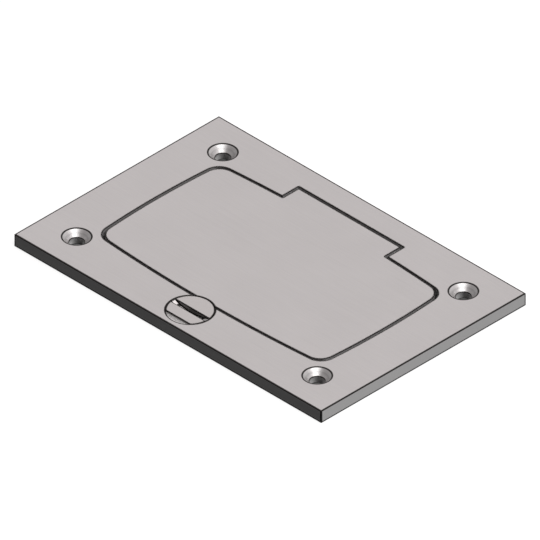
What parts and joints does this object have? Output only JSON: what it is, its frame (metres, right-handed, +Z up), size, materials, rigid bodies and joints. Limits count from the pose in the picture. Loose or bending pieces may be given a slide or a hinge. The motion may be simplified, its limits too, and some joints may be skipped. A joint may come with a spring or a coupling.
{
  "type": "rectangular cover plate",
  "caption": "Flat rectangular floor-box cover plate with a hinged flush lid, a coin-slot turn lock and countersunk fixing holes.",
  "frame": {"origin": "centre of the plate's underside", "axes": "+X along the plate's long side, +Y towards the hinge, +Z up through the top face"},
  "size_m": [0.15, 0.1, 0.005],
  "materials": {
    "plate_metal": "satin, fine even grain",
    "lid_metal": "satin, fine even grain",
    "lock_metal": "turned and satin",
    "strap_steel": "zinc plated",
    "pin_steel": "ground",
    "fastener_steel": "dark spring steel",
    "gasket_rubber": "matt"
  },
  "bodies": {
    "plate": {"cover_plate": "plate_metal", "lid_gasket": "gasket_rubber", "hinge_pin": "pin_steel", "hinge_keeper_left": "strap_steel", "hinge_keeper_right": "strap_steel", "keeper_screw_left": "fastener_steel", "keeper_screw_right": "fastener_steel"},
    "lid": {"lid": "lid_metal"},
    "lock": {"turn_lock": "lock_metal", "lock_wave_washer": "fastener_steel", "lock_ring": "fastener_steel"}
  },
  "joints": [
    {"name": "lid_hinge", "type": "hinge", "parent": "plate", "child": "lid", "pos_m": [0, 0.03665, 0.003], "axis": [-1, 0, 0], "range_deg": [0, 110]},
    {"name": "lock_turn", "type": "hinge", "parent": "plate", "child": "lock", "pos_m": [0, -0.039, 0.003], "axis": [0, 0, 1], "continuous": true}
  ]
}
